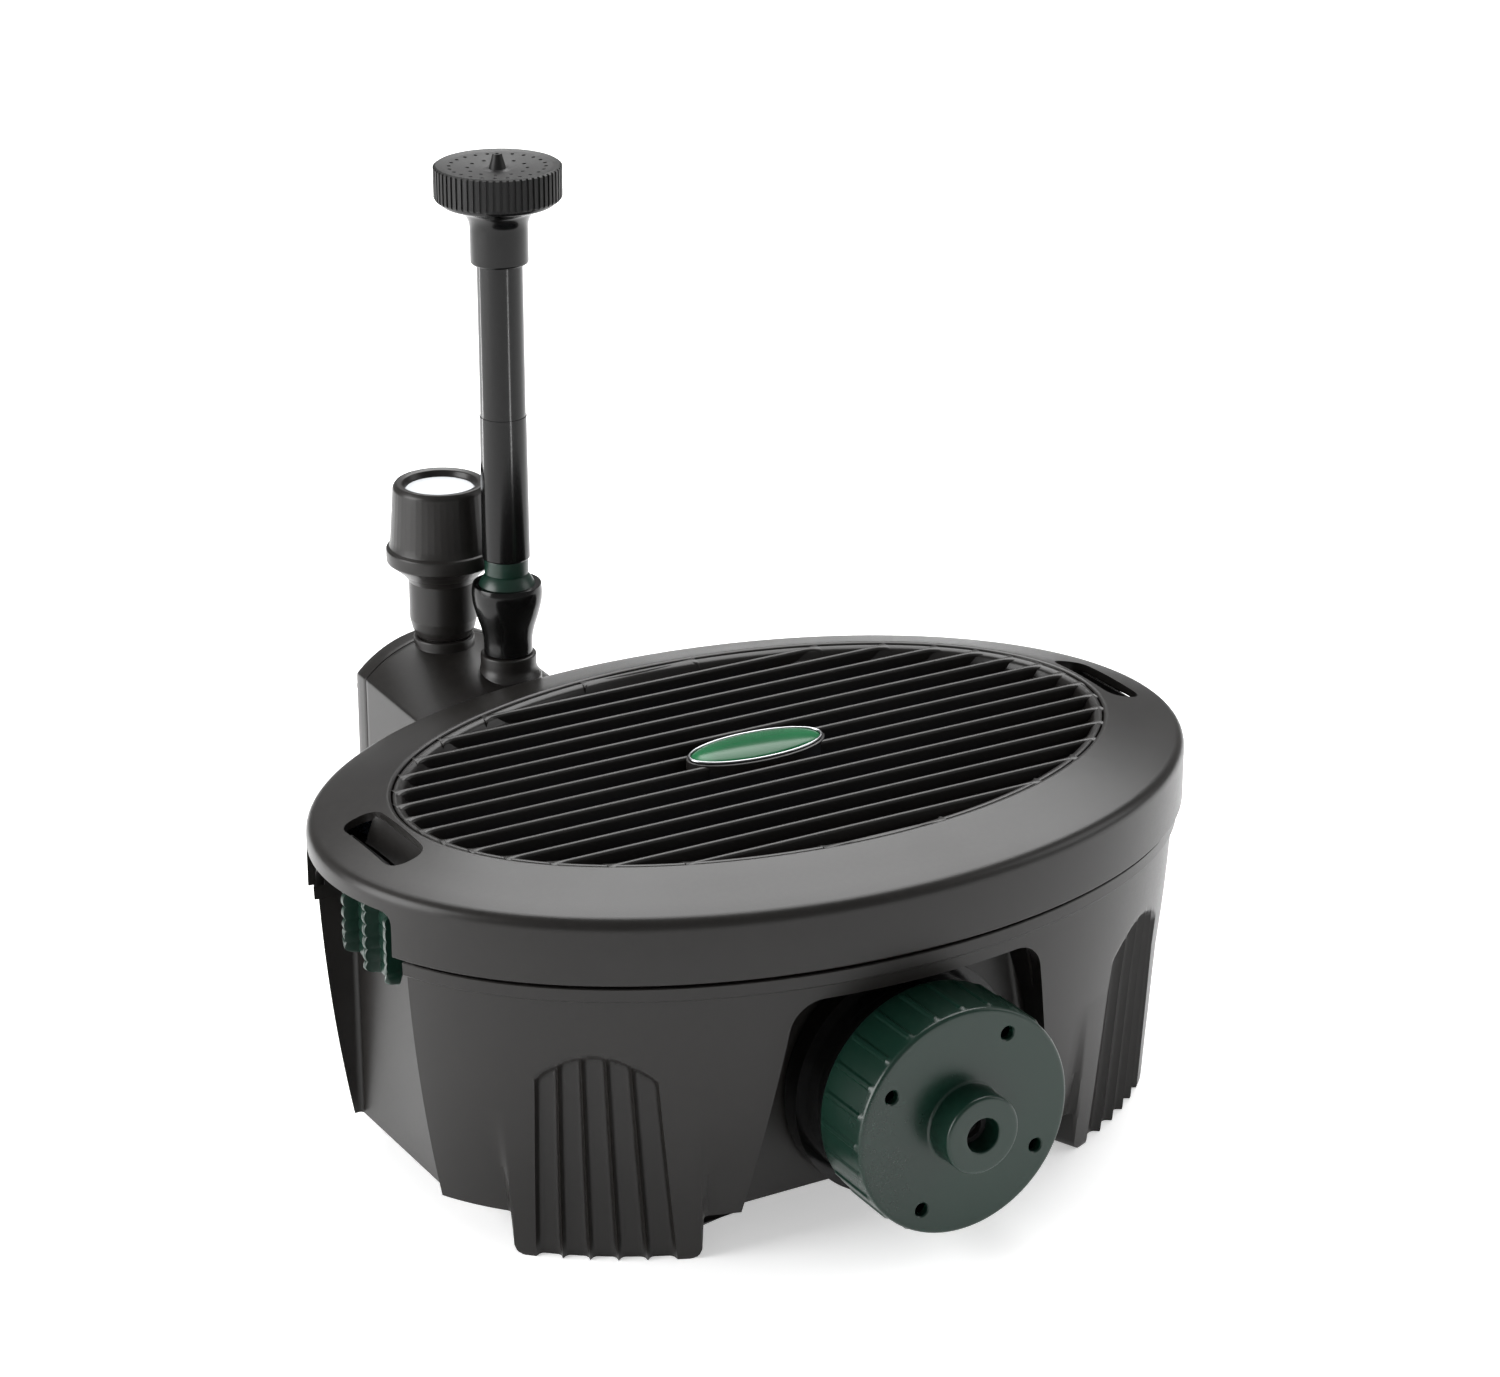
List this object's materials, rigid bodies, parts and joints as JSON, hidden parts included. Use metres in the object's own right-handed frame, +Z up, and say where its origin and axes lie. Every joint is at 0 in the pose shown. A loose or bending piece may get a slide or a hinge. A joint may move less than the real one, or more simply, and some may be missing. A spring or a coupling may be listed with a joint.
{
  "type": "in-pond filter",
  "caption": "Oval in-pond filter box with a slatted lift-off lid, screw-capped UV clarifier, rear pump housing, tilting fountain riser and spotlight.",
  "frame": {"origin": "middle of the footprint at ground level", "axes": "+Z up, +X along the long axis of the oval tub, -Y towards the UV cap"},
  "size_m": [0.4, 0.398, 0.3949],
  "materials": {
    "charcoal_plastic": "satin moulded, fine grain",
    "black_gloss_plastic": "glossy moulded",
    "black_plastic": "satin moulded",
    "green_plastic": "satin moulded",
    "badge_green": "clear domed",
    "badge_silver": "bright plated",
    "black_rubber": "moulded",
    "stainless_steel": "turned",
    "potting_resin": "cast epoxy",
    "ceramic_shaft": "ground",
    "ferrite_magnet": "sintered",
    "quartz_glass": "clear",
    "lamp_glass": "clear tube",
    "lamp_base_white": "moulded",
    "coarse_foam": "open cell, coarse",
    "fine_foam": "open cell, fine",
    "media_plastic": "moulded",
    "clear_lens": "clear moulded",
    "reflector_silver": "metallised",
    "board_white": "printed board",
    "led_yellow": "phosphor"
  },
  "bodies": {
    "base": {"tub_shell": "charcoal_plastic", "uv_chamber": "black_gloss_plastic", "neck_gasket": "black_rubber", "housing_front_shell": "charcoal_plastic", "housing_back_shell": "charcoal_plastic", "housing_screws": "stainless_steel", "lead_grommet": "black_rubber", "pump_volute": "black_plastic", "volute_seal": "black_rubber", "pump_motor": "potting_resin", "rotor_shaft": "ceramic_shaft", "shaft_bushes": "black_rubber", "suction_pipe": "black_plastic", "union_nut": "black_plastic", "wall_grommet": "black_rubber", "media_tray": "black_plastic", "fine_foam": "fine_foam", "coarse_foam": "coarse_foam", "bio_balls": "media_plastic"},
    "lamp_unit": {"sleeve_holder": "black_plastic", "quartz_sleeve": "quartz_glass", "sleeve_seal": "black_rubber", "lamp_base": "lamp_base_white", "uv_lamp": "lamp_glass"},
    "cap": {"uv_cap": "green_plastic", "cable_gland": "black_rubber"},
    "rotor": {"impeller": "black_plastic", "rotor_magnet": "ferrite_magnet"},
    "lid": {"lid_rim": "charcoal_plastic", "lid_grille": "charcoal_plastic", "badge_dome": "badge_green", "badge_rim": "badge_silver", "clip_pins": "stainless_steel"},
    "right_clip": {"clip_right": "green_plastic"},
    "left_clip": {"clip_left": "green_plastic"},
    "cup": {"swivel_cup": "black_gloss_plastic"},
    "ball": {"ball_joint": "green_plastic", "lower_tube": "black_gloss_plastic"},
    "upper": {"upper_tube": "black_gloss_plastic", "nozzle_body": "black_gloss_plastic"},
    "jet_cap": {"nozzle_cap": "black_plastic"},
    "spotlight": {"spot_body": "charcoal_plastic", "led_board": "board_white", "led_emitters": "led_yellow", "spot_reflector": "reflector_silver"},
    "spot_head": {"spot_bezel": "charcoal_plastic", "spot_lens": "clear_lens"}
  },
  "joints": [
    {"name": "lid_lift", "type": "slide", "parent": "base", "child": "lid", "axis": [0, 0, 1], "range_m": [0, 0.15]},
    {"name": "clip_right_swing", "type": "hinge", "parent": "lid", "child": "right_clip", "pos_m": [0.1805, -0.0182, 0.146], "axis": [0, -1, 0], "range_deg": [0, 14], "stiffness_Nm_per_rad": 0.4},
    {"name": "clip_left_swing", "type": "hinge", "parent": "lid", "child": "left_clip", "pos_m": [-0.1805, -0.0182, 0.146], "axis": [0, 1, 0], "range_deg": [0, 14], "stiffness_Nm_per_rad": 0.4},
    {"name": "uv_unit_slide", "type": "slide", "parent": "base", "child": "lamp_unit", "axis": [0, -1, 0], "range_m": [0, 0.24]},
    {"name": "uv_cap_turn", "type": "hinge", "parent": "lamp_unit", "child": "cap", "pos_m": [0, -0.1852, 0.0625], "axis": [0, -1, 0], "range_deg": [0, 90]},
    {"name": "impeller_spin", "type": "hinge", "parent": "base", "child": "rotor", "pos_m": [-0.052, 0.1388, 0.0625], "axis": [0, 1, 0], "continuous": true},
    {"name": "riser_swivel", "type": "hinge", "parent": "base", "child": "cup", "pos_m": [-0.0375, 0.1388, 0.1645], "axis": [0, 0, 1], "continuous": true},
    {"name": "riser_tilt", "type": "hinge", "parent": "base", "child": "ball", "pos_m": [-0.0375, 0.1388, 0.193], "axis": [0, 1, 0], "range_deg": [-10, 12]},
    {"name": "tube_extend", "type": "slide", "parent": "ball", "child": "upper", "axis": [0, 0, 1], "range_m": [0, 0.02]},
    {"name": "nozzle_cap_turn", "type": "hinge", "parent": "upper", "child": "jet_cap", "pos_m": [-0.0375, 0.1388, 0.38], "axis": [0, 0, 1], "range_deg": [0, 90]},
    {"name": "spotlight_lift", "type": "slide", "parent": "base", "child": "spotlight", "axis": [0, 0, 1], "range_m": [0, 0.02]},
    {"name": "spot_bezel_turn", "type": "hinge", "parent": "spotlight", "child": "spot_head", "pos_m": [-0.0525, 0.1738, 0.22], "axis": [0, 0, 1], "range_deg": [0, 60]}
  ]
}
